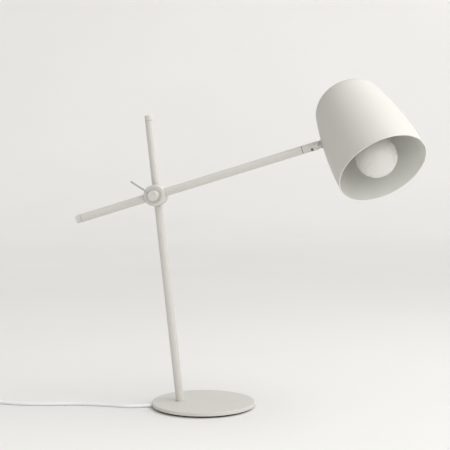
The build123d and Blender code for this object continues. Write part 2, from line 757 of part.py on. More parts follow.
with BuildPart() as holder_thread:
    ring(insert_plane, thread_shell_diameter, thread_shell_diameter - 2 * thread_shell_wall,
         -thread_shell_height)
holder_thread.part.label = "holder_thread"
export_step(holder_thread.part, "parts/holder_thread.step")

# ---- Bulb ----
bulb_radius = bulb_diameter / 2
neck_radius = bulb_neck_diameter / 2
flare_rise = bulb_neck_height - bulb_neck_straight
flare_radius = (neck_radius**2 + flare_rise**2 - bulb_radius**2) / (2 * (bulb_radius - neck_radius))
flare_height = bulb_centre_depth + flare_rise
flare_angle = degrees(atan2(flare_rise, neck_radius + flare_radius))
neck_top = bulb_centre_depth + bulb_neck_height


def bulb_form(inset, mode=Mode.ADD):
    """The solid inside the bulb's glass, or inside a surface inset from it."""
    with BuildSketch(section_plane) as outline:
        with BuildLine():
            CenterArc((0, bulb_centre_depth), bulb_radius - inset, -90, 90 + flare_angle)
            CenterArc((neck_radius + flare_radius, flare_height), flare_radius + inset,
                      180 + flare_angle, -flare_angle)
            Polyline((neck_radius - inset, flare_height), (neck_radius - inset, neck_top - inset),
                     (0, neck_top - inset), (0, bulb_centre_depth - bulb_radius + inset))
        make_face()
    revolve(outline.sketch, axis=shade_axis, mode=mode)


with BuildPart() as bulb_glass:
    bulb_form(0)
    bulb_form(bulb_wall, Mode.SUBTRACT)
bulb_glass.part.label = "bulb_glass"
export_step(bulb_glass.part, "parts/bulb_glass.step")

with BuildPart() as bulb_cap:
    rod(bulb_tip_plane, bulb_cap_diameter, -bulb_cap_height)
    rod(bulb_tip_plane.offset(-bulb_cap_wall), bulb_cap_diameter - 2 * bulb_cap_wall,
        -bulb_cap_height, Mode.SUBTRACT)
bulb_cap.part.label = "bulb_cap"
export_step(bulb_cap.part, "parts/bulb_cap.step")

with BuildPart() as bulb_tip:
    with BuildSketch(bulb_tip_plane):
        Circle(bulb_tip_base_diameter / 2)
    with BuildSketch(contact_plane):
        Circle(bulb_tip_contact_diameter / 2)
    loft()
bulb_tip.part.label = "bulb_tip"
export_step(bulb_tip.part, "parts/bulb_tip.step")


# ---- Wiring inside the lamp ----
def swept_round(points, radii, diameter):
    """A round wire along straight runs joined by arcs."""
    with BuildLine() as path:
        FilletPolyline(points, radius=radii)
    with BuildSketch(Plane(origin=path.line @ 0, z_dir=path.line % 0)) as section:
        Circle(diameter / 2)
    sweep(section.sketch, path=path.line)
    return sum(edge.length for edge in path.edges())


def on_plane(plane, *points):
    """Points given on a plane, as points of the lamp's frame."""
    return [plane.from_local_coords(point) for point in points]


core_stop = block_thickness / 2 + face_clearance
post_core_height = (exit_axis_height - plate_top_z) / cos(lean)
with BuildPart() as post_leads:
    for side in (-1, 1):
        start = exit_section.from_local_coords(
            (side * core_gather, 0, sheath_start_station - core_end_gap)
        )
        turns = on_plane(
            post_plane,
            (side * core_spread, -side * core_pair_offset, post_core_height),
            (side * core_spread, -side * core_pair_offset, hub_height),
            (side * core_spread, -core_stop, hub_height),
        )
        swept_round([start, *turns], core_bend, core_diameter)
post_leads.part.label = "post_leads"
export_step(post_leads.part, "parts/post_leads.step")

arm_core_end = arm_front_length - bush_length - swivel_nut_gap - swivel_nut_length - spigot_tail
with BuildPart() as arm_leads:
    for side in (-1, 1):
        turns = on_plane(
            arm_plane,
            (-core_stop, side * core_spread, 0),
            (0, side * core_spread, 0),
            (0, side * core_spread, arm_core_end - 2 * core_run_in),
            (0, side * core_gather, arm_core_end - core_run_in),
            (0, side * core_gather, arm_core_end - core_end_gap),
        )
        swept_round(turns, [core_bend, core_run_in, core_run_in], core_diameter)
arm_leads.part.label = "arm_leads"
export_step(arm_leads.part, "parts/arm_leads.step")

sleeve_core_length = knuckle_distance - fork_slot_depth - arm_core_end
with BuildPart() as sleeve_leads:
    with BuildSketch(swivel_plane.offset(arm_core_end)):
        with Locations((0, -core_gather), (0, core_gather)):
            Circle(core_diameter / 2)
    extrude(amount=sleeve_core_length)
sleeve_leads.part.label = "sleeve_leads"
export_step(sleeve_leads.part, "parts/sleeve_leads.step")

nipple_end = stud_reach + nipple_reach
loop_height = holder_plane_height + wire_loop_height
with BuildPart() as shade_leads:
    for side in (-1, 1):
        in_stud = on_plane(
            stud_plane,
            (0, side * core_past_pin, -knuckle_eye_radius + core_diameter),
            (0, side * core_past_pin, core_diameter),
            (0, side * core_in_stud, cavity_front - core_diameter / 2),
            (0, side * core_in_stud, nipple_end),
            (0, side * core_apart, nipple_end + 2 * core_bend),
        )
        in_shade = on_plane(
            shade_plane,
            (strip_wire_radius, side * core_apart, stud_station + strip_foot_back),
            (strip_wire_radius, side * core_apart, loop_height),
            (0, side * core_apart, loop_height),
            (0, side * core_apart, holder_plane_height - core_bend),
        )
        swept_round([*in_stud, *in_shade], core_bend, core_diameter)
shade_leads.part.label = "shade_leads"
export_step(shade_leads.part, "parts/shade_leads.step")


# ---- Cord ----
def gentle_radii(points):
    """For each corner, an arc as large as its two runs allow."""
    radii = []
    places = [Vector(point) for point in points]
    for before, corner, after in zip(places, places[1:], places[2:]):
        turn = radians((corner - before).get_angle(after - corner))
        shorter = min((corner - before).length, (after - corner).length)
        radii.append(bend_share * shorter / tan(turn / 2))
    return radii


def lay_cord(name, points):
    """The cord's tube along a route, with its radii and its volume against its length."""
    radii = gentle_radii(points)
    length = swept_round(points, radii, cord_diameter)
    print(name, "length", round(length, 1), "radii", [round(radius) for radius in radii])
    return length * pi * cord_diameter**2 / 4


exit_points = on_plane(exit_section, (0, 0, sheath_start_station), (0, 0, cord_exit))
with BuildPart() as cord_lead:
    lead_volume = lay_cord("cord_lead", [*exit_points, *lead_route])
print("cord_lead volume", round(cord_lead.part.volume), "expected", round(lead_volume))
cord_lead.part.label = "cord_lead"
export_step(cord_lead.part, "parts/cord_lead.step")

with BuildPart() as cord_middle:
    middle_volume = lay_cord("cord_middle", middle_route)
print("cord_middle volume", round(cord_middle.part.volume), "expected", round(middle_volume))
cord_middle.part.label = "cord_middle"
export_step(cord_middle.part, "parts/cord_middle.step")

with BuildPart() as cord_tail:
    tail_volume = lay_cord("cord_tail", tail_route)
print("cord_tail volume", round(cord_tail.part.volume), "expected", round(tail_volume))
cord_tail.part.label = "cord_tail"
export_step(cord_tail.part, "parts/cord_tail.step")

boot_body_start = boot_inner_station + boot_head_length
with BuildPart() as cord_boot:
    with BuildSketch(exit_section.offset(boot_body_start)):
        Ellipse(boot_base_width / 2, boot_height / 2)
    with BuildSketch(exit_section.offset(boot_outer_station)):
        Circle(boot_height / 2)
    loft()
    bar(exit_section.offset(boot_inner_station), boot_head_width, boot_height, boot_head_length)
    rod(exit_section.offset(boot_inner_station), cord_diameter,
        boot_outer_station - boot_inner_station, Mode.SUBTRACT)
cord_boot.part.label = "cord_boot"
export_step(cord_boot.part, "parts/cord_boot.step")

# ---- Coil and its tie ----
coil_plane = Plane(origin=(*coil_centre, tie_thickness))
with BuildPart() as cord_coil:
    ring(coil_plane, 2 * coil_mean_radius + coil_band, 2 * coil_mean_radius - coil_band,
         coil_height)
    fillet(cord_coil.edges().filter_by(GeomType.CIRCLE), coil_corner)
cord_coil.part.label = "cord_coil"
export_step(cord_coil.part, "parts/cord_coil.step")

tie_plane = Plane(
    origin=(coil_centre[0] + coil_mean_radius, coil_centre[1], tie_thickness + coil_height / 2),
    x_dir=(1, 0, 0),
    z_dir=(0, 1, 0),
)
tie_inner_width = coil_band + 2 * tie_slack
with BuildPart() as coil_tie:
    with BuildSketch(tie_plane):
        RectangleRounded(tie_inner_width + 2 * tie_thickness, coil_height + 2 * tie_thickness,
                         coil_corner)
        RectangleRounded(tie_inner_width, coil_height, coil_corner - tie_thickness,
                         mode=Mode.SUBTRACT)
    extrude(amount=tie_width / 2, both=True)
coil_tie.part.label = "coil_tie"
export_step(coil_tie.part, "parts/coil_tie.step")

# ---- Inline switch ----
switch_floor = Plane(origin=(*switch_centre, 0))
switch_seam = switch_floor.offset(inlet_z)
switch_top = switch_floor.offset(switch_height)
inlet_plane = Plane(
    origin=(switch_centre[0] - switch_length, switch_centre[1], inlet_z), z_dir=(1, 0, 0)
)
screw_places = [(-switch_screw_pitch / 2, 0), (switch_screw_pitch / 2, 0)]


def switch_outline(plane, inset):
    """The switch's rounded plan, or one inset from it."""
    with BuildSketch(plane) as outline:
        RectangleRounded(switch_length - 2 * inset, switch_width - 2 * inset, switch_corner - inset)
    return outline.sketch


def screw_bosses(plane, height):
    """The two pillars that take the switch's screws."""
    for place in screw_places:
        rod(Plane(plane.from_local_coords((*place, 0))), switch_boss_diameter, height)


with BuildPart() as switch_base:
    extrude(switch_outline(switch_floor, 0), amount=inlet_z)
    fillet(switch_base.edges().group_by(Axis.Z)[0], switch_edge / 2)
    extrude(switch_outline(switch_floor.offset(switch_wall), switch_wall),
            amount=inlet_z - switch_wall, mode=Mode.SUBTRACT)
    screw_bosses(switch_floor.offset(switch_wall), inlet_z - switch_wall)
    rod(inlet_plane, cord_diameter, 2 * switch_length, Mode.SUBTRACT)
    for place in screw_places:
        screw_plane = Plane(switch_floor.from_local_coords((*place, 0)))
        rod(screw_plane, switch_screw_diameter, inlet_z, Mode.SUBTRACT)
        rod(screw_plane, switch_screw_head, switch_screw_head_depth, Mode.SUBTRACT)
switch_base.part.label = "switch_base"
export_step(switch_base.part, "parts/switch_base.step")

rocker_axis_plane = Plane(
    origin=(*switch_centre, switch_height - rocker_drop), x_dir=(1, 0, 0), z_dir=(0, -1, 0)
)
opening_width = rocker_width + 2 * rocker_gap
trunnion_span = opening_width + 2 * trunnion_length
with BuildPart() as switch_cover:
    extrude(switch_outline(switch_seam, 0), amount=switch_height - inlet_z)
    fillet(switch_cover.edges().group_by(Axis.Z)[-1], switch_edge)
    extrude(switch_outline(switch_seam, switch_wall),
            amount=switch_height - inlet_z - switch_wall, mode=Mode.SUBTRACT)
    screw_bosses(switch_seam, switch_height - inlet_z - switch_wall)
    bar(switch_top.offset(-switch_wall), trunnion_boss_length,
        trunnion_span + 2 * trunnion_length, -trunnion_boss_depth)
    bar(switch_top, rocker_length + 2 * rocker_gap, opening_width, -switch_height, Mode.SUBTRACT)
    rod(rocker_axis_plane.offset(-trunnion_span / 2), trunnion_diameter + 2 * running_clearance,
        trunnion_span, Mode.SUBTRACT)
    rod(inlet_plane, cord_diameter, 2 * switch_length, Mode.SUBTRACT)
    for place in screw_places:
        rod(Plane(switch_floor.from_local_coords((*place, 0))), switch_screw_diameter,
            switch_screw_length, Mode.SUBTRACT)
switch_cover.part.label = "switch_cover"
export_step(switch_cover.part, "parts/switch_cover.step")

rocker_plane = turned(rocker_axis_plane, z=rocker_tilt)
rocker_half = rocker_length / 2
dip = rocker_above * sin(radians(rocker_tilt))
with BuildPart() as switch_rocker:
    with BuildSketch(rocker_plane):
        with BuildLine():
            Polyline(
                (0, rocker_above),
                (-rocker_half, rocker_above + dip),
                (-rocker_half, 0),
                (-rocker_below, -rocker_below),
                (rocker_below, -rocker_below),
                (rocker_half, 0),
                (rocker_half, rocker_above + dip),
                close=True,
            )
        make_face()
    extrude(amount=rocker_width / 2, both=True)
    rod(rocker_axis_plane.offset(-trunnion_span / 2 + face_clearance), trunnion_diameter,
        trunnion_span - 2 * face_clearance)
switch_rocker.part.label = "switch_rocker"
export_step(switch_rocker.part, "parts/switch_rocker.step")

with BuildPart() as switch_screws:
    for place in screw_places:
        screw_plane = Plane(switch_floor.from_local_coords((*place, 0)))
        rod(screw_plane.offset(switch_edge / 2), switch_screw_head,
            switch_screw_head_depth - switch_edge / 2)
        rod(screw_plane.offset(switch_screw_head_depth), switch_screw_diameter,
            switch_screw_length - switch_screw_head_depth)
switch_screws.part.label = "switch_screws"
export_step(switch_screws.part, "parts/switch_screws.step")

with BuildPart() as switch_terminals:
    with BuildSketch(switch_floor.offset(switch_wall)):
        with GridLocations(terminal_pitch_x, terminal_pitch_y, 2, 2):
            Rectangle(terminal_length, terminal_width)
    extrude(amount=terminal_height)
switch_terminals.part.label = "switch_terminals"
export_step(switch_terminals.part, "parts/switch_terminals.step")

# ---- Plug ----
plug_axis = Plane(origin=(*plug_start, plug_z), x_dir=(0, 1, 0), z_dir=(1, 0, 0))
plug_face = plug_axis.offset(plug_neck_length + plug_length)
plug_floor = Plane(
    origin=(plug_start[0] + plug_neck_length + plug_length / 2, plug_start[1], 0)
)
pin_places = [(-pin_pitch / 2, 0), (pin_pitch / 2, 0)]
with BuildPart() as plug_body:
    with BuildSketch(plug_floor):
        RectangleRounded(plug_length, plug_width, plug_corner)
    extrude(amount=2 * plug_z)
    fillet(plug_body.edges().group_by(Axis.Z)[-1], plug_edge)
    fillet(plug_body.edges().group_by(Axis.Z)[0], plug_edge)
    rod(plug_axis, plug_neck_diameter, plug_neck_length + plug_edge)
    rod(plug_axis, cord_diameter, plug_neck_bore, Mode.SUBTRACT)
    for place in pin_places:
        rod(Plane(plug_face.from_local_coords((*place, 0)), z_dir=(1, 0, 0)), plug_pin_diameter,
            -plug_pin_root, Mode.SUBTRACT)
plug_body.part.label = "plug_body"
export_step(plug_body.part, "parts/plug_body.step")

with BuildPart() as plug_pins:
    for place in pin_places:
        pin_plane = Plane(plug_face.from_local_coords((*place, 0)), z_dir=(1, 0, 0))
        rod(pin_plane.offset(-plug_pin_root), plug_pin_diameter, plug_pin_root + plug_pin_length)
    fillet(plug_pins.edges().group_by(Axis.X)[-1], pin_tip_fillet)
plug_pins.part.label = "plug_pins"
export_step(plug_pins.part, "parts/plug_pins.step")
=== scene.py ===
"""Swing arm desk lamp: finishes, cord, bulb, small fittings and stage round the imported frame."""

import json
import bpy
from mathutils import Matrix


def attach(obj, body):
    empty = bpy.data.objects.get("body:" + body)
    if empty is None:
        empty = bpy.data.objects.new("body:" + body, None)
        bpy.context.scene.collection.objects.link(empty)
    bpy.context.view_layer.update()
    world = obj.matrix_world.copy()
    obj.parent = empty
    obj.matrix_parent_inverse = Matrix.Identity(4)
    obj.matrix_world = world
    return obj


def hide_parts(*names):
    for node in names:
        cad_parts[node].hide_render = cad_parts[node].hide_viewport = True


bl_info = {
    "name": "Swing Arm Desk Lamp",
    "version": (1, 0, 0),
    "blender": (4, 5, 0),
    "location": "View3D > Sidebar > Desk Lamp",
    "description": "Finishes, cord, fittings and stage for a swing arm desk lamp",
    "category": "Object",
}

from math import cos, pi, radians, sin

import bmesh
import bpy
from mathutils import Vector

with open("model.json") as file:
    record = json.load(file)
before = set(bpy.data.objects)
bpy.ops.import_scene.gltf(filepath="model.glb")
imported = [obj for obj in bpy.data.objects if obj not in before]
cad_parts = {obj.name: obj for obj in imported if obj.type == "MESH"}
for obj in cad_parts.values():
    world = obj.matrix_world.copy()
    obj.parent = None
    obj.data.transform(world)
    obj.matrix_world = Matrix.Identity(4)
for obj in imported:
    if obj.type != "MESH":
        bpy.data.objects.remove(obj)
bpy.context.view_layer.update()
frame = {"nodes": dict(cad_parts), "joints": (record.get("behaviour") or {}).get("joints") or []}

NODES = frame["nodes"]
JOINTS = {joint["name"]: joint for joint in frame["joints"]}
HUB = Vector(JOINTS["arm_tilt"]["pos_m"])
KNUCKLE = Vector(JOINTS["head_tilt"]["pos_m"])
TILT_AXIS = Vector(JOINTS["head_tilt"]["axis"]).normalized()
SHADE_MOUTH = Vector((0.25535, -0.05988, 0.34793))      # centre of the shade's open end
SHADE_AXIS = Vector((0.39171, -0.57843, -0.71553))      # out of the open end
SHADE_CORE_SHIFT = 0.04     # the core point is this much nearer the open end, so the crown counts as outside
MM = 0.001
GROUP_PREFIX = "Lamp "

# ---- Values of the finishes ----
COAT_PEEL = 1.1 * MM
COAT_DEPTH = 0.02 * MM
COAT_RUB_AND_HIGHLIGHT = 0.35
COAT_GLOSS = 0.45
COAT_GRAIN_RATIO = 2.7      # grains across one dimple of the orange peel
COAT_PEEL_SHARE = 0.7
CLOUD_SCALE = 16.0
SPECK_SCALE = 420.0
SPECK_TONE = 0.82
RUB_AND_HIGHLIGHT_PATCH_SCALE = 90.0
DUST_PATCH_SCALE = 38.0
STAIN_SCALE = 60.0
FLOW_SCALE = 45.0
RING_DEPTH = 0.01 * MM
OPAL_GRAIN = 0.25 * MM
OPAL_DEPTH = 0.004 * MM
OPAL_SCATTER = 3 * MM
ACROSS_HUB = (0.0, 1.0, 0.0)
PLUG_CENTRE = Vector((0, -0.086, 0.007))

# ---- Values of the stage ----
SENSOR_WIDTH = 36.0
KEY_PLACE = (1.25, -0.2, 1.7)
KEY_TARGET = (0.06, 0.0, 0.24)
KEY_SIZE = 1.1
FILL_PLACE = (1.0, -2.2, 1.0)
FILL_TARGET = (0.24, -0.05, 0.38)
FILL_SIZE = 0.9
LIGHT_TINT = (1.0, 0.995, 0.985, 1.0)
SKY_BRIGHT_WAY = (0.88, -0.10, 0.46)
SKY_FROM = -0.5
SKY_TO = 0.9
FLOOR_FLAT = 3.4
FLOOR_BEND = 2.6
FLOOR_RINGS = (0.5, 1.5)
FLOOR_TURNS = 96
FLOOR_STEPS = 16
GLOW_FROM = 1.2
GLOW_SIDE = 3.0

# ---- Cord: its route's points, in metres ----
# The lead's and middle's points are the frame's own. The tail's are moved by up to 3 mm to leave the coil.
CORD_DIAMETER = 0.005
LEAD_ROUTE = [
    (-0.0459, -0.0039, 0.0029),
    (-0.0780, -0.0150, 0.0029),
    (-0.1070, -0.0235, 0.0025),
    (-0.1430, -0.0160, 0.0025),
    (-0.1860, -0.0135, 0.0025),
    (-0.2220, -0.0215, 0.0025),
    (-0.2620, -0.0250, 0.0025),
    (-0.2930, -0.0205, 0.0025),
    (-0.3130, -0.0200, 0.0060),
]
MIDDLE_ROUTE = [
    (-0.3630, -0.0200, 0.0060),
    (-0.3800, -0.0185, 0.0025),
    (-0.3960, -0.0190, 0.0025),
]
TAIL_ROUTE = [
    (-0.3990, -0.0905, 0.0025),
    (-0.3870, -0.0875, 0.0045),
    (-0.3740, -0.0860, 0.0070),
]
COIL_CENTRE = (-0.4120, -0.0540)
COIL_LIFT = 0.0008
COIL_STEPS = 16             # control points in each turn
COIL_START = 90.0           # degrees: the side where the cord joins the coil
COIL_SHIFT = 0.2            # last share of a turn, in which it moves over to the next place
COIL_RADII = [              # turn by turn: three below, two in their grooves, three on top
    (0.0325, 0), (0.0275, 0), (0.0225, 0),
    (0.0250, 1), (0.0300, 1),
    (0.0325, 2), (0.0275, 2), (0.0225, 2),
]
COIL_ROW = CORD_DIAMETER * sin(radians(60))
COIL_OVER = [               # the last half turn, over the others and down to the table: radius, height
    (0.0228, 0.0133), (0.0240, 0.0155), (0.0262, 0.0166), (0.0290, 0.0166),
    (0.0320, 0.0152), (0.0348, 0.0118), (0.0366, 0.0072), (0.0372, 0.0038),
]


# ---- Node trees ----
def add_node(tree, kind, **settings):
    """A new node with its settings."""
    node = tree.nodes.new(kind)
    for name, value in settings.items():
        setattr(node, name, value)
    return node


def feed(tree, node, **sources):
    """Gives a node's inputs a value or a link. Underscores in a name stand for spaces."""
    for name, source in sources.items():
        socket = node.inputs[name.replace("_", " ")]
        if isinstance(source, bpy.types.NodeSocket):
            tree.links.new(source, socket)
        else:
            socket.default_value = source
    return node


def math_node(tree, operation, first, second=0.0):
    """The output of one Math node."""
    node = add_node(tree, "ShaderNodeMath", operation=operation)
    for socket, source in zip(node.inputs, (first, second)):
        if isinstance(source, bpy.types.NodeSocket):
            tree.links.new(source, socket)
        else:
            socket.default_value = source
    return node.outputs[0]


def vector_node(tree, operation, first, second, output="Vector"):
    """One output of a Vector Math node."""
    node = add_node(tree, "ShaderNodeVectorMath", operation=operation)
    for socket, source in zip(node.inputs, (first, second)):
        if isinstance(source, bpy.types.NodeSocket):
            tree.links.new(source, socket)
        else:
            socket.default_value = source
    return node.outputs[output]


def spread(tree, value, low, high, new_low=0.0, new_high=1.0):
    """A value mapped from one range to another, and held inside it."""
    node = add_node(tree, "ShaderNodeMapRange")
    feed(tree, node, Value=value, From_Min=low, From_Max=high, To_Min=new_low, To_Max=new_high)
    return node.outputs["Result"]


def blend_colours(tree, factor, first, second, blend_type="MIX"):
    """Two colours mixed."""
    node = add_node(tree, "ShaderNodeMix", data_type="RGBA", blend_type=blend_type)
    for index, source in ((0, factor), (6, first), (7, second)):
        if isinstance(source, bpy.types.NodeSocket):
            tree.links.new(source, node.inputs[index])
        else:
            node.inputs[index].default_value = source
    return node.outputs[2]


def noise(tree, place, scale, detail=2.0, roughness=0.5):
    """The value of a noise texture at a place."""
    node = add_node(tree, "ShaderNodeTexNoise")
    feed(tree, node, Vector=place, Scale=scale, Detail=detail, Roughness=roughness)
    return node.outputs[0]


def new_group(name, inputs, outputs):
    """An empty shader group with its sockets, and its input and output nodes."""
    tree = bpy.data.node_groups.new(GROUP_PREFIX + name, "ShaderNodeTree")
    kinds = {"colour": "NodeSocketColor", "value": "NodeSocketFloat", "vector": "NodeSocketVector"}
    for label, (kind, default) in inputs.items():
        socket = tree.interface.new_socket(label, in_out="INPUT", socket_type=kinds[kind])
        socket.default_value = default
    for label, kind in outputs.items():
        tree.interface.new_socket(label, in_out="OUTPUT", socket_type=kinds[kind])
    return tree, add_node(tree, "NodeGroupInput").outputs, add_node(tree, "NodeGroupOutput").inputs


def use_group(tree, name, **sources):
    """A group placed in a material: its outputs."""
    node = add_node(tree, "ShaderNodeGroup", node_tree=bpy.data.node_groups[GROUP_PREFIX + name])
    feed(tree, node, **sources)
    return node.outputs


def grey(value):
    """An opaque grey."""
    return (value, value, value, 1.0)


# ---- Effects that several finishes share ----
def make_coat_group():
    """Powder coat: fine orange peel, faint mottling and a few specks."""
    tree, given, result = new_group(
        "Powder Coat",
        {"Color": ("colour", grey(0.7)), "Mottling": ("value", 0.03), "Peel Size": ("value", MM),
         "Gloss Change": ("value", 0.05), "Base Roughness": ("value", 0.5)},
        {"Color": "colour", "Roughness": "value", "Height": "value"},
    )
    place = add_node(tree, "ShaderNodeTexCoord").outputs["Object"]
    peel_scale = math_node(tree, "DIVIDE", 1.0, given["Peel Size"])
    grain_scale = math_node(tree, "MULTIPLY", peel_scale, COAT_GRAIN_RATIO)
    peel = noise(tree, place, peel_scale, 1.0, 0.4)
    grain = noise(tree, place, grain_scale, 2.0, 0.6)
    cloud = noise(tree, place, CLOUD_SCALE, 3.0, 0.55)
    swing = math_node(tree, "MULTIPLY", math_node(tree, "SUBTRACT", cloud, 0.5), given["Mottling"])
    lightness = math_node(tree, "ADD", swing, 1.0)
    shade = add_node(tree, "ShaderNodeHueSaturation")
    feed(tree, shade, Value=lightness, Color=given["Color"])
    specks = add_node(tree, "ShaderNodeTexVoronoi")
    feed(tree, specks, Vector=place, Scale=SPECK_SCALE)
    speck_mask = spread(tree, specks.outputs["Distance"], 0.06, 0.16, 0.10, 0.0)
    darker = blend_colours(tree, 1.0, shade.outputs["Color"], grey(SPECK_TONE), "MULTIPLY")
    tree.links.new(blend_colours(tree, speck_mask, shade.outputs["Color"], darker), result["Color"])
    gloss = math_node(tree, "MULTIPLY", math_node(tree, "SUBTRACT", grain, 0.5), given["Gloss Change"])
    tree.links.new(math_node(tree, "ADD", given["Base Roughness"], gloss), result["Roughness"])
    relief = math_node(tree, "ADD", math_node(tree, "MULTIPLY", peel, COAT_PEEL_SHARE),
                       math_node(tree, "MULTIPLY", grain, 1.0 - COAT_PEEL_SHARE))
    tree.links.new(relief, result["Height"])


def make_edge_rub_and_highlight_group():
    """Lighter edges in patches: partly rubbed finish, partly a painted highlight where rounded edges catch
    the light.
    """
    tree, given, result = new_group(
        "Edge Rub And Highlight",
        {"Color": ("colour", grey(0.7)), "Rubbed Color": ("colour", grey(0.8)),
         "Reach": ("value", 0.6 * MM), "Amount": ("value", 0.4)},
        {"Color": "colour"},
    )
    place = add_node(tree, "ShaderNodeTexCoord").outputs["Object"]
    rounded = add_node(tree, "ShaderNodeBevel", samples=4)
    feed(tree, rounded, Radius=given["Reach"])
    true_normal = add_node(tree, "ShaderNodeNewGeometry").outputs["Normal"]
    alike = vector_node(tree, "DOT_PRODUCT", rounded.outputs["Normal"], true_normal, "Value")
    edge = spread(tree, alike, 0.995, 0.90)
    patchy = spread(tree, noise(tree, place, RUB_AND_HIGHLIGHT_PATCH_SCALE, 3.0, 0.6), 0.35, 0.62, 0.35, 1.0)
    strength = math_node(tree, "MULTIPLY", math_node(tree, "MULTIPLY", edge, patchy), given["Amount"])
    tree.links.new(blend_colours(tree, strength, given["Color"], given["Rubbed Color"]), result["Color"])


def make_crevice_shade_group():
    """Painted shade: soft darkening in grooves and where parts meet, where less light reaches."""
    tree, given, result = new_group(
        "Crevice Shade",
        {"Color": ("colour", grey(0.7)), "Shade Color": ("colour", (0.20, 0.19, 0.17, 1.0)),
         "Reach": ("value", 2.0 * MM), "Amount": ("value", 0.8)},
        {"Color": "colour"},
    )
    shut_in = add_node(tree, "ShaderNodeAmbientOcclusion", samples=12)
    feed(tree, shut_in, Distance=given["Reach"])
    hidden = spread(tree, shut_in.outputs["AO"], 0.85, 0.35)
    strength = math_node(tree, "MULTIPLY", hidden, given["Amount"])
    tree.links.new(blend_colours(tree, strength, given["Color"], given["Shade Color"]), result["Color"])


def make_dust_group():
    """A thin veil of dust on what faces up."""
    tree, given, result = new_group(
        "Settled Dust",
        {"Color": ("colour", grey(0.7)), "Dust Color": ("colour", (0.62, 0.60, 0.56, 1.0)),
         "Amount": ("value", 0.1)},
        {"Color": "colour", "Mask": "value"},
    )
    place = add_node(tree, "ShaderNodeTexCoord").outputs["Object"]
    facing = add_node(tree, "ShaderNodeSeparateXYZ")
    feed(tree, facing, Vector=add_node(tree, "ShaderNodeNewGeometry").outputs["Normal"])
    upward = spread(tree, facing.outputs["Z"], 0.55, 1.0)
    patchy = spread(tree, noise(tree, place, DUST_PATCH_SCALE, 5.0, 0.65), 0.38, 0.66)
    veil = math_node(tree, "MULTIPLY", math_node(tree, "MULTIPLY", upward, patchy), given["Amount"])
    tree.links.new(blend_colours(tree, veil, given["Color"], given["Dust Color"]), result["Color"])
    tree.links.new(veil, result["Mask"])


def make_turned_group():
    """Fine rings left by a lathe, round an axis."""
    tree, given, result = new_group(
        "Turned Rings",
        {"Color": ("colour", grey(0.6)), "Centre": ("vector", (0, 0, 0)), "Axis": ("vector", (0, 0, 1)),
         "Ring Width": ("value", 0.25 * MM), "Base Roughness": ("value", 0.3)},
        {"Color": "colour", "Roughness": "value", "Height": "value"},
    )
    place = add_node(tree, "ShaderNodeTexCoord").outputs["Object"]
    from_centre = vector_node(tree, "SUBTRACT", place, given["Centre"])
    along = vector_node(tree, "DOT_PRODUCT", from_centre, given["Axis"], "Value")
    across = vector_node(tree, "CROSS_PRODUCT", from_centre, given["Axis"])
    distance = vector_node(tree, "LENGTH", across, (0, 0, 0), "Value")
    position = math_node(tree, "DIVIDE", math_node(tree, "ADD", distance, along), given["Ring Width"])
    rings = add_node(tree, "ShaderNodeTexNoise", noise_dimensions="1D")
    feed(tree, rings, W=position, Scale=1.0, Detail=2.0)
    stain = noise(tree, place, STAIN_SCALE, 3.0, 0.6)
    tone = spread(tree, math_node(tree, "ADD", rings.outputs[0], stain), 0.6, 1.4, 0.86, 1.08)
    shade = add_node(tree, "ShaderNodeHueSaturation")
    feed(tree, shade, Value=tone, Color=given["Color"])
    tree.links.new(shade.outputs["Color"], result["Color"])
    change = spread(tree, rings.outputs[0], 0.3, 0.7, -0.07, 0.07)
    tree.links.new(math_node(tree, "ADD", given["Base Roughness"], change), result["Roughness"])
    tree.links.new(rings.outputs[0], result["Height"])


def make_moulded_group():
    """Moulded plastic or rubber: a fine even texture, flow marks and handling marks."""
    tree, given, result = new_group(
        "Moulded Grain",
        {"Color": ("colour", grey(0.7)), "Grain Size": ("value", 0.5 * MM),
         "Marks": ("value", 0.05), "Base Roughness": ("value", 0.4)},
        {"Color": "colour", "Roughness": "value", "Height": "value"},
    )
    place = add_node(tree, "ShaderNodeTexCoord").outputs["Object"]
    grain_scale = math_node(tree, "DIVIDE", 1.0, given["Grain Size"])
    pebbles = add_node(tree, "ShaderNodeTexVoronoi", feature="SMOOTH_F1")
    feed(tree, pebbles, Vector=place, Scale=grain_scale, Smoothness=0.6)
    flow = noise(tree, place, FLOW_SCALE, 4.0, 0.6)
    swing = math_node(tree, "MULTIPLY", math_node(tree, "SUBTRACT", flow, 0.5), given["Marks"])
    shade = add_node(tree, "ShaderNodeHueSaturation")
    feed(tree, shade, Value=math_node(tree, "ADD", swing, 1.0), Color=given["Color"])
    tree.links.new(shade.outputs["Color"], result["Color"])
    wear = math_node(tree, "MULTIPLY", swing, 1.6)
    tree.links.new(math_node(tree, "ADD", given["Base Roughness"], wear), result["Roughness"])
    tree.links.new(pebbles.outputs["Distance"], result["Height"])


# ---- Finishes ----
def new_finish(name):
    """An empty material: its tree, shader and the material."""
    finish = bpy.data.materials.new(name)
    finish.use_nodes = True
    tree = finish.node_tree
    tree.nodes.clear()
    shader = add_node(tree, "ShaderNodeBsdfPrincipled")
    output = add_node(tree, "ShaderNodeOutputMaterial")
    tree.links.new(shader.outputs["BSDF"], output.inputs["Surface"])
    return tree, shader, finish


def raise_relief(tree, shader, height, depth):
    """A bump of a given depth in metres."""
    bump = add_node(tree, "ShaderNodeBump")
    feed(tree, bump, Height=height, Distance=depth, Strength=1.0)
    tree.links.new(bump.outputs["Normal"], shader.inputs["Normal"])


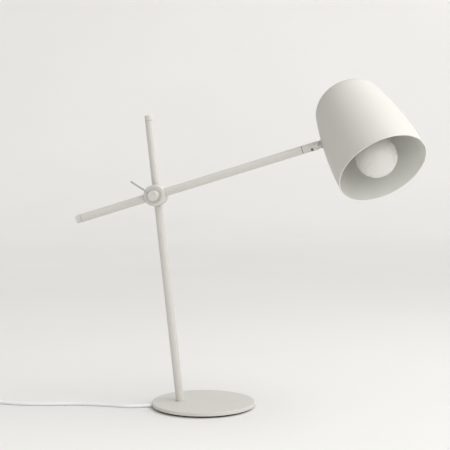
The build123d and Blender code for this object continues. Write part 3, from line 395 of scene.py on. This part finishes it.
def coat_finish(name, colour, rubbed_and_lit, roughness=0.5, dust=0.10, lining=None):
    """Powder-coated metal, with another colour inside if it is the shade."""
    tree, shader, finish = new_finish(name)
    base = (*colour, 1.0)
    if lining is not None:
        base = blend_colours(tree, inside_of_shade(tree), base, (*lining, 1.0))
    coat = use_group(tree, "Powder Coat", Color=base, Peel_Size=COAT_PEEL, Base_Roughness=roughness)
    # painted highlight: lighter colour on the rounded edges, mixed with rubbed paint
    rub_and_highlight = use_group(tree, "Edge Rub And Highlight", Color=coat["Color"], Rubbed_Color=(*rubbed_and_lit, 1.0),
                    Amount=COAT_RUB_AND_HIGHLIGHT)
    # painted shade: darkens the coat in grooves and where parts meet
    crevice_shade = use_group(tree, "Crevice Shade", Color=rub_and_highlight["Color"])
    veil = use_group(tree, "Settled Dust", Color=crevice_shade["Color"], Amount=dust)
    rougher = math_node(tree, "ADD", coat["Roughness"], math_node(tree, "MULTIPLY", veil["Mask"], 0.5))
    feed(tree, shader, Base_Color=veil["Color"], Roughness=rougher)
    shader.inputs["Specular IOR Level"].default_value = COAT_GLOSS
    raise_relief(tree, shader, coat["Height"], COAT_DEPTH)
    return finish


def inside_of_shade(tree):
    """A mask: 1 where the shade's wall faces its axis."""
    own = add_node(tree, "ShaderNodeTexCoord").outputs
    from_mouth = vector_node(tree, "SUBTRACT", own["Object"], SHADE_MOUTH)
    along = vector_node(tree, "DOT_PRODUCT", from_mouth, SHADE_AXIS, "Value")
    core = add_node(tree, "ShaderNodeVectorMath", operation="SCALE")
    feed(tree, core, Vector=SHADE_AXIS, Scale=math_node(tree, "ADD", along, SHADE_CORE_SHIFT))
    outward = vector_node(tree, "SUBTRACT", from_mouth, core.outputs["Vector"])
    facing = vector_node(tree, "DOT_PRODUCT", outward, own["Normal"], "Value")
    return spread(tree, facing, 0.001, -0.001)


def turned_finish(name, colour, centre, axis, roughness=0.3):
    """Turned and brushed metal."""
    tree, shader, finish = new_finish(name)
    turned = use_group(tree, "Turned Rings", Color=(*colour, 1.0), Centre=centre, Axis=axis,
                       Base_Roughness=roughness)
    # painted highlight: lighter metal on the rounded edges, mixed with rubbed metal
    rub_and_highlight = use_group(tree, "Edge Rub And Highlight", Color=turned["Color"], Rubbed_Color=grey(0.86), Reach=0.3 * MM,
                    Amount=0.5)
    feed(tree, shader, Base_Color=rub_and_highlight["Color"], Roughness=turned["Roughness"], Metallic=1.0)
    raise_relief(tree, shader, turned["Height"], RING_DEPTH)
    return finish


def moulded_finish(name, colour, roughness=0.4, grain=0.5 * MM, depth=0.02 * MM, marks=0.06, dust=0.06):
    """Moulded plastic or rubber."""
    tree, shader, finish = new_finish(name)
    grained = use_group(tree, "Moulded Grain", Color=(*colour, 1.0), Grain_Size=grain, Marks=marks,
                        Base_Roughness=roughness)
    veil = use_group(tree, "Settled Dust", Color=grained["Color"], Amount=dust)
    feed(tree, shader, Base_Color=veil["Color"], Roughness=grained["Roughness"])
    raise_relief(tree, shader, grained["Height"], depth)
    return finish


def opal_finish(name, colour):
    """Frosted opal glass that scatters a little light, slightly uneven."""
    tree, shader, finish = new_finish(name)
    grained = use_group(tree, "Moulded Grain", Color=(*colour, 1.0), Grain_Size=OPAL_GRAIN, Marks=0.05,
                        Base_Roughness=0.28)
    feed(tree, shader, Base_Color=grained["Color"], Roughness=grained["Roughness"])
    shader.inputs["Specular IOR Level"].default_value = 0.5
    shader.inputs["Subsurface Weight"].default_value = 0.2
    shader.inputs["Subsurface Radius"].default_value = (1.0, 1.0, 1.0)
    shader.inputs["Subsurface Scale"].default_value = OPAL_SCATTER
    shader.inputs["Coat Weight"].default_value = 0.25
    shader.inputs["Coat Roughness"].default_value = 0.12
    raise_relief(tree, shader, grained["Height"], OPAL_DEPTH)
    return finish


def dress(finish, *names):
    """Gives CAD nodes a finish."""
    for name in names:
        for slot in NODES[name].material_slots:
            slot.material = finish


# ---- Meshes and curves ----
def new_piece(name, data, finish, body):
    """An object in the scene with its finish, riding on a body if it has one."""
    piece = bpy.data.objects.new(name, data)
    bpy.context.scene.collection.objects.link(piece)
    data.materials.append(finish)
    if body is not None:
        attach(piece, body)
    return piece


def smooth_mesh(name, build):
    """A smooth-shaded mesh that a function fills."""
    work = bmesh.new()
    build(work)
    bmesh.ops.recalc_face_normals(work, faces=work.faces)
    mesh = bpy.data.meshes.new(name)
    work.to_mesh(mesh)
    work.free()
    mesh.shade_smooth()
    return mesh


def nurbs_line(name, points, radius):
    """One smooth open curve of round section through its control points."""
    line = bpy.data.curves.new(name, "CURVE")
    line.dimensions = "3D"
    line.bevel_depth = radius
    line.bevel_resolution = 5
    line.use_fill_caps = True
    spline = line.splines.new("NURBS")
    spline.points.add(len(points) - 1)
    for control, place in zip(spline.points, points):
        control.co = (*place, 1.0)
    spline.order_u = 3
    spline.use_endpoint_u = True
    spline.resolution_u = 8
    return line


def ease(share):
    """A share from 0 to 1 with a soft start and end."""
    return share * share * (3 - 2 * share)


# ---- Cord ----
def coil_points():
    """The coil's turns: each moves over to the next one's place in its last part."""
    points = []
    turns = [(radius, COIL_LIFT + CORD_DIAMETER / 2 + row * COIL_ROW) for radius, row in COIL_RADII]
    followers = [*turns[1:], COIL_OVER[0]]
    for (radius, height), (next_radius, next_height) in zip(turns, followers):
        for step in range(COIL_STEPS):
            share = step / COIL_STEPS
            moved = ease(max(0.0, (share - 1 + COIL_SHIFT) / COIL_SHIFT))
            points.append(coil_point(share * 2 * pi, radius + moved * (next_radius - radius),
                                     height + moved * (next_height - height)))
    for step, (radius, height) in enumerate(COIL_OVER):
        points.append(coil_point(step / COIL_STEPS * 2 * pi, radius, height))
    return points


def coil_point(turned, radius, height):
    """A point of the coil, by the angle since the coil's start."""
    angle = radians(COIL_START) + turned
    return (COIL_CENTRE[0] + radius * cos(angle), COIL_CENTRE[1] + radius * sin(angle), height)


class LampFinishes(bpy.types.PropertyGroup):
    """The lamp's colours."""

    coat: bpy.props.FloatVectorProperty(
        name="Coat", description="Powder coat on the base, post, arm and shade", subtype="COLOR",
        size=3, min=0.0, max=1.0, default=(0.63, 0.62, 0.582))
    # lighter edge colour: partly rubbed paint, partly a painted highlight on rounded edges
    coat_rubbed_and_lit: bpy.props.FloatVectorProperty(
        name="Rubbed and lit coat", description="Lighter coat on edges: rubbed paint and painted highlight", subtype="COLOR",
        size=3, min=0.0, max=1.0, default=(0.80, 0.79, 0.75))
    lining: bpy.props.FloatVectorProperty(
        name="Shade lining", description="White inside of the shade", subtype="COLOR",
        size=3, min=0.0, max=1.0, default=(0.84, 0.845, 0.80))
    sheath: bpy.props.FloatVectorProperty(
        name="Cord", description="Sheath of the cord", subtype="COLOR",
        size=3, min=0.0, max=1.0, default=(0.86, 0.855, 0.86))
    plastic: bpy.props.FloatVectorProperty(
        name="White plastic", description="Switch, plug and lampholder", subtype="COLOR",
        size=3, min=0.0, max=1.0, default=(0.78, 0.77, 0.75))
    opal: bpy.props.FloatVectorProperty(
        name="Bulb", description="Frosted glass of the bulb", subtype="COLOR",
        size=3, min=0.0, max=1.0, default=(0.75, 0.735, 0.71))


class LampStage(bpy.types.PropertyGroup):
    """Camera, light and floor."""

    camera_place: bpy.props.FloatVectorProperty(
        name="Camera place", description="Where the camera stands", subtype="TRANSLATION",
        unit="LENGTH", size=3, default=(0.2054, -1.5235, 0.360))
    camera_turn: bpy.props.FloatProperty(
        name="Camera turn", description="The camera's turn to the left", subtype="ANGLE",
        default=radians(6.5))
    camera_drop: bpy.props.FloatProperty(
        name="Camera drop", description="How far the camera looks down", subtype="ANGLE",
        default=radians(3.5))
    lens: bpy.props.FloatProperty(
        name="Lens", description="Focal length in millimetres", default=85.0, min=10.0)
    key_power: bpy.props.FloatProperty(
        name="Key light", description="Power of the large light on the right", unit="POWER",
        default=16.5, min=0.0)
    wall_glow: bpy.props.FloatProperty(
        name="Backdrop glow", description="How much light the backdrop gives off itself",
        default=0.42, min=0.0)
    fill_power: bpy.props.FloatProperty(
        name="Fill light", description="Power of the light into the shade's mouth", unit="POWER",
        default=5.0, min=0.0)
    sky_dim: bpy.props.FloatProperty(
        name="Sky, dim side", description="Strength of the sky on the lamp's post side", default=0.06,
        min=0.0)
    sky_bright: bpy.props.FloatProperty(
        name="Sky, bright side", description="Strength of the sky on the lamp's shade side",
        default=1.30, min=0.0)
    floor_colour: bpy.props.FloatVectorProperty(
        name="Floor", description="Colour of the floor and backdrop", subtype="COLOR",
        size=3, min=0.0, max=1.0, default=(0.80, 0.79, 0.775))


class LAMP_OT_camera(bpy.types.Operator):
    """Place the camera"""

    bl_idname = "lamp.camera"
    bl_label = "Camera"

    def execute(self, context):
        stage = context.scene.lamp_stage
        lens = bpy.data.cameras.new("Camera")
        lens.lens = stage.lens
        lens.sensor_width = SENSOR_WIDTH
        camera = bpy.data.objects.new("Camera", lens)
        camera.location = stage.camera_place
        camera.rotation_euler = (pi / 2 - stage.camera_drop, 0.0, stage.camera_turn)
        context.scene.collection.objects.link(camera)
        context.scene.camera = camera
        return {"FINISHED"}


class LAMP_OT_effects(bpy.types.Operator):
    """Build the effects that several finishes share"""

    bl_idname = "lamp.effects"
    bl_label = "Shared effects"

    def execute(self, context):
        make_coat_group()
        make_edge_rub_and_highlight_group()
        make_crevice_shade_group()
        make_dust_group()
        make_turned_group()
        make_moulded_group()
        return {"FINISHED"}


class LAMP_OT_cord(bpy.types.Operator):
    """Lay the cord from the base to the plug, with its coil and strain relief"""

    bl_idname = "lamp.cord"
    bl_label = "Cord"

    def execute(self, context):
        colours = context.scene.lamp_finishes
        sheath = moulded_finish("cord_sheath", colours.sheath, roughness=0.42, grain=0.35 * MM,
                                depth=0.01 * MM, marks=0.05, dust=0.04)
        rubber = moulded_finish("boot_rubber", colours.sheath, roughness=0.55, grain=0.3 * MM)
        route = [*LEAD_ROUTE, *MIDDLE_ROUTE, *coil_points(), *TAIL_ROUTE]
        line = nurbs_line("mains_cord", route, CORD_DIAMETER / 2)
        cord = new_piece("mains_cord", line, sheath, "base")
        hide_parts("cord_lead", "cord_middle", "cord_coil", "cord_tail")
        dress(rubber, "cord_boot")
        strap = moulded_finish("tie_strap", (0.42, 0.42, 0.42), roughness=0.5, grain=0.8 * MM,
                               depth=0.05 * MM)
        dress(strap, "coil_tie")
        return {"FINISHED"}


class LAMP_OT_frame(bpy.types.Operator):
    """Finish the base, post, arm and hub blocks, and the parts that are coated with them"""

    bl_idname = "lamp.frame"
    bl_label = "Base, post and arm"

    def execute(self, context):
        colours = context.scene.lamp_finishes
        coat = coat_finish("frame_coat", colours.coat, colours.coat_rubbed_and_lit)
        pad = moulded_finish("pad_rubber", (0.045, 0.043, 0.04), roughness=0.75, grain=0.6 * MM,
                             depth=0.04 * MM, marks=0.2, dust=0.1)
        nylon = moulded_finish("dark_nylon", (0.05, 0.05, 0.048), roughness=0.45)
        dress(coat, "base_plate", "post_tube", "post_cap", "post_block", "rear_nut", "arm_block",
              "arm_tube", "arm_cap", "swivel_sleeve", "shade_stud", "knuckle_screw", "knuckle_nut")
        dress(pad, "base_pad")
        dress(nylon, "arm_bush", "friction_disc", "stud_saddle")
        return {"FINISHED"}


class LAMP_OT_hub(bpy.types.Operator):
    """Finish the clamp knob, its washer and lever, and the screws"""

    bl_idname = "lamp.hub"
    bl_label = "Clamp and screws"

    def execute(self, context):
        colours = context.scene.lamp_finishes
        washer = turned_finish("washer_steel", (0.66, 0.65, 0.61), HUB, ACROSS_HUB,
                               roughness=0.34)
        # painted highlight: the lighter edge colour brightens the knob's rim, mixed with rubbed paint
        knob = coat_finish("knob_coat", colours.coat, (0.88, 0.87, 0.83), roughness=0.34, dust=0.05)
        zinc = turned_finish("zinc_steel", (0.56, 0.56, 0.55), KNUCKLE, TILT_AXIS,
                             roughness=0.36)
        steel = turned_finish("lever_steel", (0.42, 0.42, 0.41), HUB, ACROSS_HUB,
                              roughness=0.4)
        dress(washer, "thrust_washer")
        dress(knob, "clamp_knob")
        dress(steel, "clamp_lever")
        dress(zinc, "clamp_screw", "post_set_screw", "arm_set_screw", "swivel_nut", "stud_nut",
              "holder_bracket", "holder_nut", "switch_screws")
        return {"FINISHED"}


class LAMP_OT_head(bpy.types.Operator):
    """Finish the shade, lampholder and bulb"""

    bl_idname = "lamp.head"
    bl_label = "Shade and bulb"

    def execute(self, context):
        colours = context.scene.lamp_finishes
        coat = coat_finish("shade_coat", colours.coat, colours.coat_rubbed_and_lit, lining=colours.lining)
        opal = opal_finish("opal_glass", colours.opal)
        white = moulded_finish("holder_plastic", colours.plastic, roughness=0.45)
        ceramic = moulded_finish("insert_ceramic", (0.76, 0.75, 0.71), roughness=0.3, grain=0.8 * MM)
        brass = turned_finish("plain_brass", (0.72, 0.56, 0.28), KNUCKLE, TILT_AXIS)
        tin = turned_finish("cap_metal", (0.74, 0.74, 0.74), KNUCKLE, TILT_AXIS)
        dress(coat, "shade")
        dress(opal, "bulb_glass")
        dress(white, "holder_cap", "holder_body")
        dress(ceramic, "holder_insert", "bulb_tip")
        dress(brass, "holder_nipple", "holder_contact", "holder_thread", "switch_terminals")
        dress(tin, "bulb_cap")
        return {"FINISHED"}


class LAMP_OT_wiring(bpy.types.Operator):
    """Finish the insulated cores"""

    bl_idname = "lamp.wiring"
    bl_label = "Wiring"

    def execute(self, context):
        cores = moulded_finish("core_insulation", (0.30, 0.20, 0.13), grain=0.3 * MM)
        dress(cores, "post_leads", "arm_leads", "sleeve_leads", "shade_leads")
        return {"FINISHED"}


class LAMP_OT_switch_and_plug(bpy.types.Operator):
    """Finish the inline switch and the plug"""

    bl_idname = "lamp.switch_and_plug"
    bl_label = "Switch and plug"

    def execute(self, context):
        colours = context.scene.lamp_finishes
        case = moulded_finish("switch_plastic", colours.plastic, roughness=0.32, grain=0.35 * MM)
        rocker = moulded_finish("rocker_plastic", (0.70, 0.69, 0.67), roughness=0.22, depth=0.004 * MM)
        nickel = turned_finish("nickel_pins", (0.68, 0.66, 0.60), PLUG_CENTRE, (1, 0, 0),
                               roughness=0.2)
        dress(case, "switch_base", "switch_cover", "plug_body")
        dress(rocker, "switch_rocker")
        dress(nickel, "plug_pins")
        return {"FINISHED"}


class LAMP_OT_stage(bpy.types.Operator):
    """Set up the pale floor and the soft light"""

    bl_idname = "lamp.stage"
    bl_label = "Stage"

    def execute(self, context):
        stage = context.scene.lamp_stage
        context.scene.view_settings.view_transform = "Standard"
        self.make_floor(stage)
        self.make_light("key", KEY_PLACE, KEY_TARGET, KEY_SIZE, stage.key_power)
        self.make_light("fill", FILL_PLACE, FILL_TARGET, FILL_SIZE, stage.fill_power)
        self.make_sky(stage)
        return {"FINISHED"}

    def make_sky(self, stage):
        """A sky that is brighter on the shade's side."""
        world = bpy.data.worlds.new("Sky")
        world.use_nodes = True
        tree = world.node_tree
        direction = add_node(tree, "ShaderNodeTexCoord").outputs["Generated"]
        towards = vector_node(tree, "DOT_PRODUCT", direction, SKY_BRIGHT_WAY, "Value")
        sky = tree.nodes["Background"]
        sky.inputs["Color"].default_value = LIGHT_TINT
        tree.links.new(spread(tree, towards, SKY_FROM, SKY_TO, stage.sky_dim, stage.sky_bright),
                       sky.inputs["Strength"])
        bpy.context.scene.world = world

    def make_floor(self, stage):
        """A floor that curves up into a backdrop all round."""
        profile = [(radius, 0.0) for radius in (0.0, *FLOOR_RINGS, FLOOR_FLAT)]
        for step in range(1, FLOOR_STEPS + 1):
            rise = pi / 2 * step / FLOOR_STEPS
            profile.append((FLOOR_FLAT + FLOOR_BEND * sin(rise), FLOOR_BEND - FLOOR_BEND * cos(rise)))

        def build(work):
            edge = [work.verts.new((radius, 0.0, height)) for radius, height in profile]
            lines = [work.edges.new(pair) for pair in zip(edge, edge[1:])]
            bmesh.ops.spin(work, geom=edge + lines, cent=(0, 0, 0), axis=(0, 0, 1), angle=2 * pi,
                           steps=FLOOR_TURNS, use_duplicate=False)
            bmesh.ops.remove_doubles(work, verts=work.verts, dist=1e-5)

        tree, shader, finish = new_finish("stage_paper")
        place = add_node(tree, "ShaderNodeTexCoord").outputs["Object"]
        tone = spread(tree, noise(tree, place, 1.2, 2.0), 0.3, 0.7, 0.985, 1.015)
        paper = add_node(tree, "ShaderNodeHueSaturation")
        feed(tree, paper, Value=tone, Color=(*stage.floor_colour, 1.0))
        reach = vector_node(tree, "LENGTH", place, (0, 0, 0), "Value")
        across = add_node(tree, "ShaderNodeSeparateXYZ")
        feed(tree, across, Vector=place)
        side = spread(tree, across.outputs["X"], -GLOW_SIDE, GLOW_SIDE)
        far = spread(tree, reach, GLOW_FROM, FLOOR_FLAT + FLOOR_BEND, 0.0, stage.wall_glow)
        glow = math_node(tree, "MULTIPLY", side, far)
        feed(tree, shader, Base_Color=paper.outputs["Color"], Roughness=0.9,
             Emission_Color=LIGHT_TINT, Emission_Strength=glow)
        floor = new_piece("floor", smooth_mesh("floor", build), finish, None)

    def make_light(self, name, place, target, size, power):
        """A square soft light aimed at a point."""
        glow = bpy.data.lights.new(name, "AREA")
        glow.size = size
        glow.energy = power
        light = bpy.data.objects.new(name, glow)
        light.location = place
        aim = Vector(target) - Vector(place)
        light.rotation_euler = aim.to_track_quat("-Z", "Y").to_euler()
        bpy.context.scene.collection.objects.link(light)


class LAMP_PT_panel(bpy.types.Panel):
    """The lamp's steps and settings"""

    bl_idname = "LAMP_PT_panel"
    bl_label = "Desk Lamp"
    bl_space_type = "VIEW_3D"
    bl_region_type = "UI"
    bl_category = "Desk Lamp"

    def draw(self, context):
        for settings in (context.scene.lamp_finishes, context.scene.lamp_stage):
            column = self.layout.column()
            for name in settings.bl_rna.properties.keys():
                if name not in {"rna_type", "name"}:
                    column.prop(settings, name)
        for operator in OPERATORS:
            self.layout.operator(operator.bl_idname)


OPERATORS = (
    LAMP_OT_camera,
    LAMP_OT_effects,
    LAMP_OT_cord,
    LAMP_OT_frame,
    LAMP_OT_hub,
    LAMP_OT_head,
    LAMP_OT_wiring,
    LAMP_OT_switch_and_plug,
    LAMP_OT_stage,
)
CLASSES = (LampFinishes, LampStage, *OPERATORS, LAMP_PT_panel)


def register():
    """Registers the classes and their settings."""
    for kind in CLASSES:
        bpy.utils.register_class(kind)
    bpy.types.Scene.lamp_finishes = bpy.props.PointerProperty(type=LampFinishes)
    bpy.types.Scene.lamp_stage = bpy.props.PointerProperty(type=LampStage)


def unregister():
    """Removes the classes and their settings."""
    del bpy.types.Scene.lamp_stage
    del bpy.types.Scene.lamp_finishes
    for kind in reversed(CLASSES):
        bpy.utils.unregister_class(kind)


def main():
    """Builds everything in order."""
    register()
    for operator in OPERATORS:
        group, name = operator.bl_idname.split(".")
        getattr(getattr(bpy.ops, group), name)()


if __name__ == "__main__":
    main()
